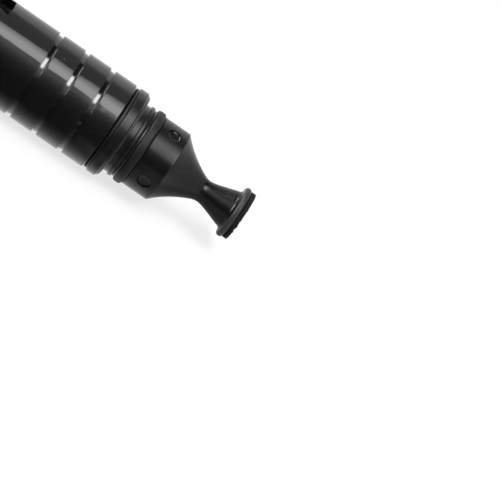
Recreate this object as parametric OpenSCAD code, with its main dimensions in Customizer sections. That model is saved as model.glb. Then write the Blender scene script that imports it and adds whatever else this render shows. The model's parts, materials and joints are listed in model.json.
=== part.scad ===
// Lens cleaning pen, lying on its side with the cleaning tip towards +X and the slider on top.
// Stations along the pen run from 0 at the brush mouth; radii are measured from the pen's axis.

/* [Barrel] */
// Length of the barrel tube
barrel_len = 85; // [80:0.5:95]
// Outer radius of the barrel
barrel_r = 7.5; // [7.3:0.1:8.2]
// Wall of the barrel
barrel_wall = 1.3; // [1.2:0.05:1.4]
// Chamfer on the barrel's two end edges
barrel_chamfer = 0.15; // [0.05:0.05:0.3]
// Length of the first ring, between the front end and the first groove
ring_len = 3.87; // [3:0.05:4.5]
// Distance from one groove to the next
groove_pitch = 4.75; // [4:0.1:5.5]
// Width of a groove at the surface
groove_w = 0.88; // [0.7:0.05:1.2]
// Depth of a groove at its rear wall
groove_depth = 0.32; // [0.2:0.02:0.6]
// Further fall of a groove's floor towards its front wall
groove_fall = 0.12; // [0.05:0.01:0.2]
// Width of the fine slit along a groove's rear wall
slit_w = 0.14; // [0.1:0.02:0.3]
// Depth of the slit below the groove's floor
slit_depth = 0.2; // [0.1:0.05:0.4]
// Slant of a groove's front wall
groove_slant = 0.12; // [0.05:0.01:0.2]
// Length over which each ring's rear edge rolls off
roll_len = 0.4; // [0.3:0.05:1]
// Drop of the rolled edge
roll_drop = 0.07; // [0.05:0.01:0.2]
// Number of grooves
groove_count = 3; // [1:1:4]

/* [Slider slot] */
// Distance from the barrel's front end to the slot's front end
slot_setback = 22.2; // [20:0.1:25]
// Width of the slot
slot_w = 3.6; // [3.2:0.1:4]
// Radius of the slot's corners
slot_corner_r = 0.4; // [0.4:0.1:1.4]
// Travel of the brush, from hidden to fully out
brush_travel = 24; // [20:0.5:26]
// Slot left free ahead of the button's stem with the brush hidden
slot_front_gap = 2.3; // [1:0.1:3]
// Slot left free behind the button's stem with the brush out
slot_rear_gap = 0.5; // [0.3:0.1:1.5]

/* [Slider button] */
// Length of the thumb pad
pad_len = 11; // [9.5:0.5:13]
// Width of the thumb pad
pad_w = 4; // [4:0.1:5.4]
// Height of the thumb pad above the barrel
pad_rise = 3; // [2.4:0.1:3.4]
// Gap between the thumb pad and the barrel
pad_gap = 0.15; // [0.15:0.05:0.4]
// Forward overhang of the thumb pad past its stem
pad_overhang = 2.2; // [1:0.1:2.4]
// Height of the thin lip at the thumb pad's front
pad_lip_h = 0.65; // [0.4:0.05:0.9]
// Length of the button's stem
stem_len = 7; // [6:0.5:8]
// Depth to which the stem is pushed into the carriage
stem_depth = 2.2; // [1.5:0.1:2.4]
// Clearance on each side of the stem in the slot
stem_clear = 0.15; // [0.05:0.05:0.25]
// Number of finger grooves across the thumb pad
rib_count = 4; // [2:1:5]
// Distance between the finger grooves
rib_pitch = 1.9; // [1.6:0.1:2]
// Radius of a finger groove
rib_r = 0.55; // [0.4:0.05:0.7]

/* [Brush mouth] */
// Thickness of the mouth ring's outer lip
mouth_lip = 1.2; // [0.8:0.1:2]
// How far the lip's edge stands in from the barrel's surface
mouth_step = 0.25; // [0.1:0.05:0.4]
// Length of the mouth ring inside the barrel
mouth_insert = 4; // [3:0.5:6]
// Clearance between the ferrule and the mouth ring
mouth_clear = 0.45; // [0.3:0.05:0.6]

/* [Guide sleeve and carriage] */
// Clearance between the barrel and what is pressed into it
press_clear = 0.05; // [0.02:0.01:0.08]
// Wall of the guide sleeve
sleeve_wall = 0.8; // [0.7:0.05:0.9]
// How much wider than the barrel's slot the sleeve's slot is, on each side
sleeve_slot_extra = 0.2; // [0.1:0.05:0.4]
// Height of the sleeve's front shoulder, which stops the carriage
stop_step = 0.7; // [0.4:0.1:1]
// Gap that the carriage leaves at either stop
stop_gap = 0.2; // [0.1:0.05:0.4]
// Running clearance of the carriage in the sleeve
slide_clear = 0.08; // [0.05:0.01:0.1]
// Length of the carriage's rear land, which holds the ferrule
rear_land = 7; // [6:0.5:8]
// Length of the carriage left on each side of the stem
stem_margin = 2.2; // [1.5:0.1:3]
// Depth of the waist between the carriage's lands
waist_depth = 1.2; // [0.8:0.1:1.4]
// Radius of the carriage's hollow
carriage_bore_r = 2.4; // [2:0.1:2.6]
// Depth of the socket that takes the ferrule
socket_len = 5; // [4:0.5:6]
// Wall of the carriage around the ferrule
socket_wall = 0.7; // [0.5:0.05:0.9]

/* [Detent spring] */
// Width of the leaf spring
spring_w = 2; // [1.5:0.1:2.2]
// Thickness of the leaf spring
spring_t = 0.3; // [0.2:0.05:0.4]
// Length of the leaf spring
spring_len = 14; // [11:0.5:15]
// Depth of the flat that the spring lies on, below the carriage's waist
spring_seat = 0.7; // [0.5:0.1:0.9]
// Gap between the spring's crown and the sleeve
spring_clear = 0.2; // [0.15:0.05:0.3]
// Radius of the sleeve's two detent notches
notch_r = 1; // [0.7:0.1:1.3]
// Depth of the sleeve's two detent notches
notch_depth = 0.45; // [0.3:0.05:0.55]

/* [Brush] */
// Free length of the bristles, ahead of the ferrule
bristle_len = 18.5; // [15:0.5:19]
// Outward swell of the bristles past the ferrule's bore
bristle_swell = 0.25; // [0.1:0.05:0.3]
// Radius of the bristles' blunt end
bristle_tip_r = 2.6; // [2:0.1:3]
// Wall of the ferrule
ferrule_wall = 0.35; // [0.25:0.05:0.5]
// How far the ferrule stands out of the mouth with the brush out
ferrule_show = 3; // [1:0.5:5]
// Length of the resin plug that holds the bristle roots
root_plug_len = 5; // [3:0.5:6]
// Clearance between parts that are glued together
glue_clear = 0.03; // [0.02:0.01:0.05]

/* [Spacer ring] */
// Dark gap behind the spacer ring
spacer_gap = 0.3; // [0.2:0.05:0.45]
// Thickness of the spacer ring
spacer_t = 0.3; // [0.25:0.05:0.5]
// How far the spacer ring stands in from the barrel's surface
spacer_step = 0.3; // [0.2:0.05:0.45]
// Dark gap between the spacer ring and the collar
collar_gap = 0.15; // [0.08:0.01:0.2]

/* [Collar] */
// Length of the collar's tail inside the barrel
collar_tail = 8; // [6:0.5:10]
// Length of the full-size part of the collar's flange
flange_len = 1.45; // [1:0.05:1.8]
// Length of the flange's small front step
flange_step_len = 0.33; // [0.25:0.01:0.9]
// Inset of the flange's front step
flange_step = 0.31; // [0.15:0.02:0.5]
// Chamfer on the flange's edges
flange_chamfer = 0.2; // [0.1:0.05:0.3]
// Radius of the collar's neck, where the cap seats
neck_r = 5.94; // [5.8:0.02:6.1]
// Length of the plain neck ahead of the flange
neck_len = 0.95; // [0.6:0.05:1.2]
// Height of the thread's crest above the neck
thread_h = 0.3; // [0.15:0.01:0.35]
// Width of the thread's crest
thread_w = 0.85; // [0.5:0.05:0.9]
// Length of the valley between the thread and the grip ring
valley_len = 0.3; // [0.25:0.05:0.6]
// Wall of the collar's neck
neck_wall = 1.4; // [1.2:0.1:1.5]
// Depth of the grip ring's seat below the neck
ring_seat = 0.45; // [0.3:0.05:0.6]

/* [Cap grip ring] */
// How far the ring that grips the cap stands out of the neck
grip_proud = 0.47; // [0.35:0.01:0.65]
// Width of the grip ring
grip_w = 1.5; // [1.2:0.05:1.7]
// Width of the flat land around the grip ring's crown
grip_land = 0.5; // [0.3:0.05:0.7]

/* [Nose] */
// Radius of the nose's cylinder
nose_r = 6.03; // [5.9:0.02:6.2]
// Length of the nose's cylinder
nose_len = 4.55; // [4.2:0.05:5]
// Length of the nose's hollow cone
cone_len = 6.15; // [5.5:0.05:7]
// Fall of the cone's outline where it leaves the cylinder
cone_fall_rear = 1.07; // [1:0.01:1.15]
// Fall of the cone's outline where it meets the waist
cone_fall_front = 0.42; // [0.36:0.01:0.46]
// Radius of the waist that bends
waist_r = 1.88; // [1.8:0.02:2]
// Distance from the cone to the waist's bending point
waist_len = 0.6; // [0.4:0.05:0.8]
// Wall of the nose
nose_wall = 0.9; // [0.8:0.05:1]
// Radius of each of the four snap windows
window_r = 1.1; // [0.9:0.05:1.2]
// Distance from the nose's rear edge to the windows' centres
window_pos = 2.5; // [2.4:0.05:3.2]
// Turn of the four windows about the pen's axis
window_turn = 18; // [0:1:90]

/* [Nose core] */
// Length of the core inside the collar, behind the grip ring
core_tail = 12; // [10:0.5:14]
// Clearance around each snap lug in its window
lug_clear = 0.08; // [0.05:0.01:0.12]
// How far a snap lug's face lies under the nose's surface
lug_sink = 0.4; // [0.3:0.05:0.7]
// Radius of the core's hollow
core_bore_r = 3.1; // [2.6:0.1:3.3]
// Thickness of the core's closed front
core_front = 2; // [1.4:0.1:2.4]

/* [Bending joint] */
// Radius of the ball at the waist
ball_r = 1.5; // [1.3:0.02:1.56]
// Clearance around the ball
ball_clear = 0.06; // [0.04:0.01:0.1]
// Gap that lets the tip tilt
tilt_gap = 0.32; // [0.3:0.02:0.5]

/* [Cleaning tip] */
// Distance from the bending point to the start of the flare
flare_start = 0.6; // [0.5:0.05:0.8]
// Length of the straight flare
flare_len = 3.95; // [3.5:0.05:5]
// Radius of the flare at its wide end
flare_r = 3.09; // [2.8:0.01:3.3]
// Fillet between the flare and the pad holder
flare_fillet = 0.45; // [0.3:0.05:0.6]
// Radius of the pad holder
holder_r = 4.35; // [4.1:0.01:4.6]
// Thickness of the pad holder
holder_t = 1.05; // [0.9:0.05:1.3]
// Crown of the pad holder's rounded rim
holder_crown = 0.4; // [0.2:0.05:0.5]
// Radius of the peg that joins the stem to the pad holder
peg_r = 1.6; // [1.2:0.1:2]
// Depth of the recess in the pad holder
recess_depth = 0.4; // [0.3:0.05:0.5]
// Radius of the cleaning pad
pad_r = 4.05; // [3.9:0.05:4.25]
// Thickness of the cleaning pad at its edge
pad_t = 0.95; // [0.8:0.05:1.3]
// Dark gap between the pad holder and the pad
pad_seat_gap = 0.05; // [0.03:0.01:0.1]
// Depth of the pad's hollow face
pad_dish = 0.25; // [0.1:0.05:0.3]
// Width of the pad's skin around the foam
pad_skin = 0.6; // [0.4:0.05:0.8]
// Thickness of the pad's skin over the foam
pad_face_t = 0.5; // [0.4:0.05:0.55]

/* [Hidden] */
round_fn = 96;
small_fn = 48;
eps = 0.01;

// Stations along the axis, from the brush mouth to the pad's face
front_s = mouth_lip + barrel_len;
spacer_s = front_s + spacer_gap;
flange_s = spacer_s + spacer_t + collar_gap;
neck_s = flange_s + flange_len + flange_chamfer + flange_step_len;
thread_s = neck_s + neck_len;
ring_s = thread_s + thread_w + valley_len;
nose_s = ring_s + grip_w;
cone_s = nose_s + nose_len;
bend_s = cone_s + cone_len + waist_len;
flare_s = bend_s + flare_start;
fillet_s = flare_s + flare_len;
holder_s = fillet_s + flare_fillet;
pad_s = holder_s + holder_t + pad_seat_gap;
total_len = pad_s + pad_t;

// Slot and button stations with the brush hidden
slot_front_s = front_s - slot_setback;
stem_front_s = slot_front_s - slot_front_gap;
stem_rear_s = stem_front_s - stem_len;
slot_rear_s = stem_rear_s - brush_travel - slot_rear_gap;
carriage_rear_s = mouth_lip + mouth_insert + stop_gap + brush_travel;
carriage_front_s = stem_front_s + stem_margin;
waist_rear_s = carriage_rear_s + rear_land;
waist_front_s = stem_rear_s - stem_margin;
spring_mid_s = (waist_rear_s + waist_front_s) / 2;
ferrule_s = brush_travel - ferrule_show;

// Radii that follow from the walls and clearances
bore_r = barrel_r - barrel_wall;
insert_r = bore_r - press_clear;
sleeve_bore_r = insert_r - sleeve_wall;
carriage_r = sleeve_bore_r - slide_clear;
carriage_waist_r = carriage_r - waist_depth;
ferrule_r = carriage_r - socket_wall;
ferrule_bore_r = ferrule_r - ferrule_wall;
mouth_bore_r = ferrule_r + mouth_clear;
collar_bore_r = neck_r - neck_wall;
core_r = nose_r - nose_wall - press_clear;
stem_w = slot_w - 2 * stem_clear;

// Clearance between the carriage's socket and the ferrule, shared by all glued joints
socket_r = ferrule_r + glue_clear;

// Puts a child that is drawn at the mouth's centre where it belongs in the part's frame
module at(s) {
    translate([s - total_len / 2, 0, barrel_r])
        children();
}

// Turns an outline of [radius, station] points about the pen's axis
module lathe(outline) {
    at(0)
        rotate([0, 90, 0])
            rotate_extrude($fn = round_fn)
                polygon(outline);
}

module tube(s0, s1, outer_r, inner_r) {
    lathe([[inner_r, s0], [outer_r, s0], [outer_r, s1], [inner_r, s1]]);
}

module rod(s0, s1, r) {
    lathe([[0, s0], [r, s0], [r, s1], [0, s1]]);
}

// A block with rounded vertical edges, from station s0 to s1 and from z0 to z1 above the axis
module rounded_block(s0, s1, w, z0, z1, r) {
    at(s0) {
        translate([0, r - w / 2, z0])
            cube([s1 - s0, w - 2 * r, z1 - z0]);
        translate([r, -w / 2, z0])
            cube([s1 - s0 - 2 * r, w, z1 - z0]);
        for (x = [r, s1 - s0 - r], y = [r - w / 2, w / 2 - r])
            translate([x, y, z0])
                cylinder(h = z1 - z0, r = r, $fn = small_fn);
    }
}

// Repeats a child at the four snap windows
module at_windows() {
    for (turn = [0 : 90 : 270])
        at(nose_s + window_pos)
            rotate([window_turn + turn, 0, 0])
                children();
}

// Middle of groove i, counted from the front
function groove_s(i) = front_s - ring_len - groove_w / 2 - i * groove_pitch;

// Outline of one groove, from its rear edge to the rolled edge of the ring ahead of it; its floor falls
// towards the front
function groove(s) = concat(
    [[barrel_r, s - groove_w / 2], [barrel_r - groove_depth - slit_depth, s - groove_w / 2]],
    [[barrel_r - groove_depth - slit_depth, s - groove_w / 2 + slit_w]],
    [[barrel_r - groove_depth, s - groove_w / 2 + slit_w]],
    [[barrel_r - groove_depth - groove_fall, s + groove_w / 2 - groove_slant]],
    [for (a = [0 : 15 : 90])
        [barrel_r - roll_drop * (1 - sin(a)), s + groove_w / 2 + roll_len * (1 - cos(a))]]
);

module barrel() {
    color([0.03, 0.03, 0.035])
        difference() {
            lathe(concat(
                [[bore_r, mouth_lip], [barrel_r - barrel_chamfer, mouth_lip]],
                [[barrel_r, mouth_lip + barrel_chamfer]],
                [for (i = [groove_count - 1 : -1 : 0], p = groove(groove_s(i))) p],
                [[barrel_r, front_s - barrel_chamfer], [barrel_r - barrel_chamfer, front_s]],
                [[bore_r, front_s]]
            ));
            rounded_block(slot_rear_s, slot_front_s, slot_w, bore_r / 2, barrel_r + 1, slot_corner_r);
        }
}

module mouth_ring() {
    lip_r = barrel_r - mouth_step;
    color([0.05, 0.05, 0.055])
        lathe([
            [mouth_bore_r + mouth_step, 0],
            [lip_r - mouth_step, 0],
            [lip_r, mouth_step],
            [lip_r, mouth_lip],
            [insert_r, mouth_lip],
            [insert_r, mouth_lip + mouth_insert],
            [mouth_bore_r, mouth_lip + mouth_insert],
            [mouth_bore_r, mouth_step]
        ]);
}

module guide_sleeve() {
    shoulder_s = carriage_front_s + stop_gap;
    shoulder_r = sleeve_bore_r - stop_step;
    notch_z = -sleeve_bore_r - notch_depth + notch_r;
    color([0.22, 0.22, 0.23])
        difference() {
            lathe([
                [sleeve_bore_r, mouth_lip + mouth_insert + press_clear],
                [insert_r, mouth_lip + mouth_insert + press_clear],
                [insert_r, front_s - collar_tail - press_clear],
                [shoulder_r, front_s - collar_tail - press_clear],
                [shoulder_r, shoulder_s],
                [sleeve_bore_r, shoulder_s]
            ]);
            rounded_block(
                slot_rear_s - sleeve_slot_extra, slot_front_s + sleeve_slot_extra,
                slot_w + 2 * sleeve_slot_extra, 0, barrel_r, slot_corner_r
            );
            for (s = [spring_mid_s, spring_mid_s - brush_travel])
                at(s)
                    translate([0, 0, notch_z])
                        rotate([90, 0, 0])
                            cylinder(h = 2 * spring_w, r = notch_r, center = true, $fn = small_fn);
        }
}

module spacer_ring() {
    color([0.16, 0.16, 0.17])
        tube(spacer_s, spacer_s + spacer_t, barrel_r - spacer_step, insert_r + press_clear);
}

module front_collar() {
    flange_end_s = flange_s + flange_len;
    step_r = barrel_r - flange_step;
    crest_r = neck_r + thread_h;
    color([0.09, 0.09, 0.095])
        lathe([
            [collar_bore_r, front_s - collar_tail],
            [insert_r, front_s - collar_tail],
            [insert_r, flange_s],
            [barrel_r - flange_chamfer / 2, flange_s],
            [barrel_r, flange_s + flange_chamfer / 2],
            [barrel_r, flange_end_s],
            [step_r, flange_end_s + flange_chamfer],
            [step_r, neck_s - flange_chamfer],
            [step_r - flange_chamfer, neck_s],
            [neck_r, neck_s],
            [neck_r, thread_s],
            [crest_r, thread_s + thread_w / 8],
            [crest_r, thread_s + thread_w * 5 / 8],
            [neck_r, thread_s + thread_w],
            [neck_r, ring_s - eps],
            [neck_r - ring_seat, ring_s - eps],
            [neck_r - ring_seat, nose_s - eps],
            [collar_bore_r, nose_s - eps]
        ]);
}

module cap_grip_ring() {
    seat_r = neck_r - ring_seat + eps;
    mid_s = ring_s + grip_w / 2;
    side_w = (grip_w - grip_land) / 2 - eps;
    color([0.11, 0.11, 0.115])
        lathe(concat(
            [[seat_r, mid_s - grip_land / 2 - side_w]],
            [for (a = [-90 : 15 : 0])
                [neck_r + grip_proud * cos(a), mid_s - grip_land / 2 + side_w * sin(a)]],
            [for (a = [0 : 15 : 90])
                [neck_r + grip_proud * cos(a), mid_s + grip_land / 2 + side_w * sin(a)]],
            [[seat_r, mid_s + grip_land / 2 + side_w]]
        ));
}

module nose_core() {
    tail_r = collar_bore_r - glue_clear;
    rear_s = nose_s - core_tail;
    head_front_s = cone_s - nose_wall / 2;
    color([0.12, 0.12, 0.125])
        union() {
            lathe([
                [core_bore_r, rear_s],
                [tail_r, rear_s],
                [tail_r, nose_s],
                [core_r, nose_s],
                [core_r, head_front_s],
                [0, head_front_s],
                [0, head_front_s - core_front],
                [core_bore_r, head_front_s - core_front]
            ]);
            at_windows()
                translate([0, 0, core_r / 2 + core_bore_r / 2])
                    cylinder(
                        h = nose_r - lug_sink - core_r / 2 - core_bore_r / 2,
                        r = window_r - lug_clear, $fn = small_fn
                    );
        }
}

// Point of the cone's outline, from the cylinder at t = 0 to the waist at t = 1
function cone_knee() = (nose_r - waist_r - cone_fall_front * cone_len) / (cone_fall_rear - cone_fall_front);
function cone_point(t) = [
    pow(1 - t, 2) * nose_r + 2 * t * (1 - t) * (nose_r - cone_fall_rear * cone_knee()) + t * t * waist_r,
    cone_s + 2 * t * (1 - t) * cone_knee() + t * t * cone_len
];

module nose_cone() {
    hollow_r = nose_r - nose_wall;
    hollow_s = cone_s - nose_wall / 4;
    color([0.07, 0.07, 0.075])
        difference() {
            union() {
                lathe(concat(
                    [[0, nose_s], [nose_r, nose_s]],
                    [for (i = [0 : 12]) cone_point(i / 12)],
                    [[waist_r, bend_s], [0, bend_s]]
                ));
                at(bend_s)
                    rotate([0, 90, 0])
                        sphere(r = ball_r, $fn = small_fn);
            }
            lathe([
                [0, nose_s - eps],
                [hollow_r, nose_s - eps],
                [hollow_r, hollow_s],
                [waist_r / 2, hollow_s + cone_len * 2 / 3],
                [0, hollow_s + cone_len * 2 / 3]
            ]);
            at_windows()
                translate([0, 0, core_r / 2])
                    cylinder(h = nose_r, r = window_r, $fn = small_fn);
        }
}

// Side outline of the thumb pad, with a thin lip that overhangs at the front
module pad_outline(rear_s, nose_end_s) {
    low_z = barrel_r - pad_gap;
    top_z = barrel_r + pad_rise;
    at(0)
        rotate([90, 0, 0])
            linear_extrude(height = pad_w, center = true)
                polygon([
                    [rear_s, low_z],
                    [stem_front_s, low_z],
                    [stem_front_s, barrel_r + pad_gap],
                    [nose_end_s, top_z - pad_lip_h],
                    [nose_end_s, top_z - pad_lip_h / 3],
                    [nose_end_s - pad_lip_h / 3, top_z],
                    [rear_s + pad_rise, top_z],
                    [rear_s, barrel_r + pad_gap + pad_lip_h]
                ]);
}

module slider_button() {
    pad_front_s = stem_front_s + pad_overhang;
    pad_rear_s = pad_front_s - pad_len;
    rib_mid_s = (pad_front_s + pad_rear_s + pad_rise) / 2;
    color([0.035, 0.035, 0.04])
        union() {
            difference() {
                intersection() {
                    pad_outline(pad_rear_s, pad_front_s);
                    rounded_block(pad_rear_s, pad_front_s, pad_w, 0, 2 * barrel_r, slot_corner_r);
                }
                rod(pad_rear_s - 1, pad_front_s + 1, barrel_r + pad_gap);
                for (i = [0 : rib_count - 1])
                    at(rib_mid_s + (i - (rib_count - 1) / 2) * rib_pitch)
                        translate([0, 0, barrel_r + pad_rise + rib_r / 3])
                            rotate([90, 0, 0])
                                cylinder(h = 2 * pad_w, r = rib_r, center = true, $fn = small_fn);
            }
            rounded_block(
                stem_rear_s, stem_front_s, stem_w, carriage_r - stem_depth,
                barrel_r + pad_rise / 2, slot_corner_r / 2
            );
        }
}

module brush_carriage() {
    color([0.3, 0.3, 0.31])
        difference() {
            lathe([
                [0, carriage_rear_s],
                [carriage_r, carriage_rear_s],
                [carriage_r, waist_rear_s],
                [carriage_waist_r, waist_rear_s],
                [carriage_waist_r, waist_front_s],
                [carriage_r, waist_front_s],
                [carriage_r, carriage_front_s],
                [0, carriage_front_s]
            ]);
            rod(carriage_rear_s - eps, carriage_rear_s + socket_len, socket_r);
            rod(waist_rear_s, carriage_front_s + eps, carriage_bore_r);
            rounded_block(
                stem_rear_s - glue_clear, stem_front_s + glue_clear, stem_w + 2 * glue_clear,
                carriage_r - stem_depth - glue_clear, barrel_r, slot_corner_r / 2
            );
            at(spring_mid_s)
                translate([0, 0, -carriage_waist_r - carriage_r + spring_seat])
                    cube([spring_len + 2 * stop_gap, 2 * carriage_r, 2 * carriage_r], center = true);
        }
}

// Depth between the spring's seat and the sleeve that the bow fills, less its clearance
function spring_room() =
    sleeve_bore_r - spring_clear - spring_t - carriage_waist_r + spring_seat - glue_clear;

// Height of the bowed spring below its seat, at t from 0 to 1 along it
function spring_bow(t) = spring_room() * pow(sin(180 * t), 2);

module detent_spring() {
    seat_z = -carriage_waist_r + spring_seat - glue_clear;
    steps = 24;
    color([0.75, 0.75, 0.77])
        at(spring_mid_s)
            rotate([90, 0, 0])
                linear_extrude(height = spring_w, center = true)
                    polygon(concat(
                        [for (i = [0 : steps])
                            [spring_len * (i / steps - 0.5), seat_z - spring_bow(i / steps)]],
                        [for (i = [steps : -1 : 0])
                            [spring_len * (i / steps - 0.5), seat_z - spring_t - spring_bow(i / steps)]]
                    ));
}

module brush_ferrule() {
    color([0.7, 0.7, 0.72])
        tube(ferrule_s, carriage_rear_s + socket_len - glue_clear, ferrule_r, ferrule_bore_r);
}

module bristle_root_plug() {
    plug_end_s = carriage_rear_s + socket_len - glue_clear;
    color([0.55, 0.5, 0.35])
        rod(plug_end_s - root_plug_len, plug_end_s, ferrule_bore_r - glue_clear);
}

module bristle_bundle() {
    root_r = ferrule_bore_r - glue_clear;
    root_s = carriage_rear_s + socket_len - glue_clear - root_plug_len - glue_clear;
    tip_s = ferrule_s - bristle_len;
    steps = 12;
    color([0.1, 0.09, 0.08])
        lathe(concat(
            [[0, root_s], [root_r, root_s], [root_r, ferrule_s]],
            [for (i = [1 : steps - 1])
                [root_r + bristle_swell * sin(180 * i / steps)
                    - (root_r - bristle_tip_r) * pow(i / steps, 6), ferrule_s - bristle_len * i / steps]],
            [[bristle_tip_r, tip_s], [0, tip_s]]
        ));
}

module tip_stem() {
    start_s = bend_s + tilt_gap;
    color([0.07, 0.07, 0.075])
        difference() {
            lathe(concat(
                [[0, start_s], [waist_r, start_s], [waist_r, flare_s]],
                [for (a = [0 : 15 : 90])
                    [flare_r + flare_fillet * (1 - cos(a)), fillet_s + flare_fillet * sin(a)]],
                [[peg_r, holder_s], [peg_r, holder_s + holder_t - recess_depth]],
                [[0, holder_s + holder_t - recess_depth]]
            ));
            at(bend_s)
                rotate([0, 90, 0])
                    sphere(r = ball_r + ball_clear, $fn = small_fn);
        }
}

module pad_holder() {
    rim_r = holder_r - holder_crown;
    recess_r = pad_r - pad_skin;
    recess_s = holder_s + holder_t - recess_depth;
    mid_s = holder_s + holder_t / 2;
    half_t = holder_t / 2 - glue_clear;
    color([0.15, 0.15, 0.155])
        lathe(concat(
            [[peg_r + glue_clear, holder_s + glue_clear]],
            [for (a = [-90 : 15 : 90])
                [rim_r + holder_crown * cos(a), mid_s + half_t * sin(a)]],
            [[recess_r, mid_s + half_t], [recess_r, recess_s], [peg_r + glue_clear, recess_s]]
        ));
}

module backing_foam() {
    foam_s = holder_s + holder_t - recess_depth + glue_clear;
    color([0.2, 0.2, 0.2])
        rod(foam_s, pad_s + pad_t - pad_face_t - glue_clear, pad_r - pad_skin - press_clear);
}

// The hollow face falls by the square of the distance from its rim
module cleaning_pad() {
    face_s = pad_s + pad_t;
    face_r = pad_r - pad_skin / 4;
    steps = 6;
    color([0.1, 0.1, 0.1])
        lathe(concat(
            [[0, face_s - pad_face_t], [pad_r - pad_skin, face_s - pad_face_t], [pad_r - pad_skin, pad_s]],
            [[pad_r, pad_s], [pad_r, face_s - pad_skin / 4]],
            [for (i = [steps : -1 : 0])
                [face_r * i / steps, face_s - pad_dish * (1 - pow(i / steps, 2))]]
        ));
}

barrel();
mouth_ring();
guide_sleeve();
spacer_ring();
front_collar();
cap_grip_ring();
nose_core();
nose_cone();
slider_button();
brush_carriage();
detent_spring();
brush_ferrule();
bristle_root_plug();
bristle_bundle();
tip_stem();
pad_holder();
backing_foam();
cleaning_pad();
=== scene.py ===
"""Looks of the lens cleaning pen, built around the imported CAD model.

The pen lies along X, with the cleaning pad at +X and the brush's mouth at -X. Lengths are in metres.
"""
import json
import math
import random

import bmesh
import bpy
from mathutils import Matrix, Vector, noise


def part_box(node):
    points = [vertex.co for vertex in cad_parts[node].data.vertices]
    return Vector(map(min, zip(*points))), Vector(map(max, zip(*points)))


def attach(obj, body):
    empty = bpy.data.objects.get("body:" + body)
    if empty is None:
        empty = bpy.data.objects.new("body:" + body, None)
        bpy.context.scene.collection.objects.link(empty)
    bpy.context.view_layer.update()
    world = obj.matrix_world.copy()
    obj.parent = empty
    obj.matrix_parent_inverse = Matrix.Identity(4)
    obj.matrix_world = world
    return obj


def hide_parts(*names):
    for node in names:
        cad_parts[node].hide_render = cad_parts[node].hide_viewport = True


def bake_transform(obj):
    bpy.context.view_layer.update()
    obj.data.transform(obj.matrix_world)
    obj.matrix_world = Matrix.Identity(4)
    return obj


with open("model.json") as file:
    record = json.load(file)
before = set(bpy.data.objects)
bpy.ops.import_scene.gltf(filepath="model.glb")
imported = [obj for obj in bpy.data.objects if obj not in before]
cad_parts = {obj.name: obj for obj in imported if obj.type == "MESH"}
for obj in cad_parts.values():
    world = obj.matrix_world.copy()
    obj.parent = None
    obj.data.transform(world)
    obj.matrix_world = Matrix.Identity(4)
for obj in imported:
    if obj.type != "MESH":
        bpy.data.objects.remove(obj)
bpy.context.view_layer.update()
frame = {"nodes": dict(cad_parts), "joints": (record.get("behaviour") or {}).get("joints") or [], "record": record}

MM = 0.001
SEED = 11
ROUND_SIDES = 144

# ---- Where things are: the pen's axis runs along X at the barrel's middle height ----
BARREL_LO, BARREL_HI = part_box("barrel")
AXIS_Z = (BARREL_LO.z + BARREL_HI.z) / 2
FRONT_X = BARREL_HI.x
NOSE_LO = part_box("nose_cone")[0]
HOLDER_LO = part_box("pad_holder")[0]
PAD_LO, PAD_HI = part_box("cleaning_pad")
HAIR_LO, HAIR_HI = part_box("bristle_bundle")
TIP_JOINT = next(j for j in frame["joints"] if j["name"] == "tip_flex")
BEND_X = TIP_JOINT["pos_m"][0]


def radius_of(node):
    """Largest distance of a node from the pen's axis, taken across Y."""
    lo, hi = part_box(node)
    return (hi.y - lo.y) / 2


# ---------------------------------------------------------------- camera
CAMERA_AZIMUTH = -6.656
CAMERA_ELEVATION = 24.182
CAMERA_ROLL = 37.301
CAMERA_DISTANCE = 0.6
CAMERA_LENS = 283.2
CAMERA_SENSOR = 36
CAMERA_CLIP = (0.05, 20)
# The picture's middle: ahead of the pad, in front of the pen and below its axis
AIM = Vector((PAD_HI.x + 3.585 * MM, -3.509 * MM, AXIS_Z - 2.119 * MM))


def make_camera():
    azimuth, elevation = math.radians(CAMERA_AZIMUTH), math.radians(CAMERA_ELEVATION)
    back = Vector((
        math.sin(azimuth) * math.cos(elevation),
        -math.cos(azimuth) * math.cos(elevation),
        math.sin(elevation),
    ))
    data = bpy.data.cameras.new("camera")
    data.lens = CAMERA_LENS
    data.sensor_width = CAMERA_SENSOR
    data.clip_start, data.clip_end = CAMERA_CLIP
    camera = bpy.data.objects.new("camera", data)
    bpy.context.scene.collection.objects.link(camera)
    camera.rotation_mode = "QUATERNION"
    upright = (-back).to_track_quat("-Z", "Y")
    rolled = Matrix.Rotation(math.radians(CAMERA_ROLL), 3, "Z").to_quaternion()
    camera.rotation_quaternion = upright @ rolled
    camera.location = AIM + back * CAMERA_DISTANCE
    bpy.context.scene.camera = camera


# ---------------------------------------------------------------- node helpers
BEVEL_SAMPLES = 6
# The share of a speck's radius that is full, the detail, roughness and stretch of the noise that hairlines
# come from, and the range of it that they show
SPECK_CORE = 0.6
HAIRLINE_NOISE = (1.0, 0.4, (1, 0.025, 1))
HAIRLINE_RANGE = (0.70, 0.74)


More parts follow.
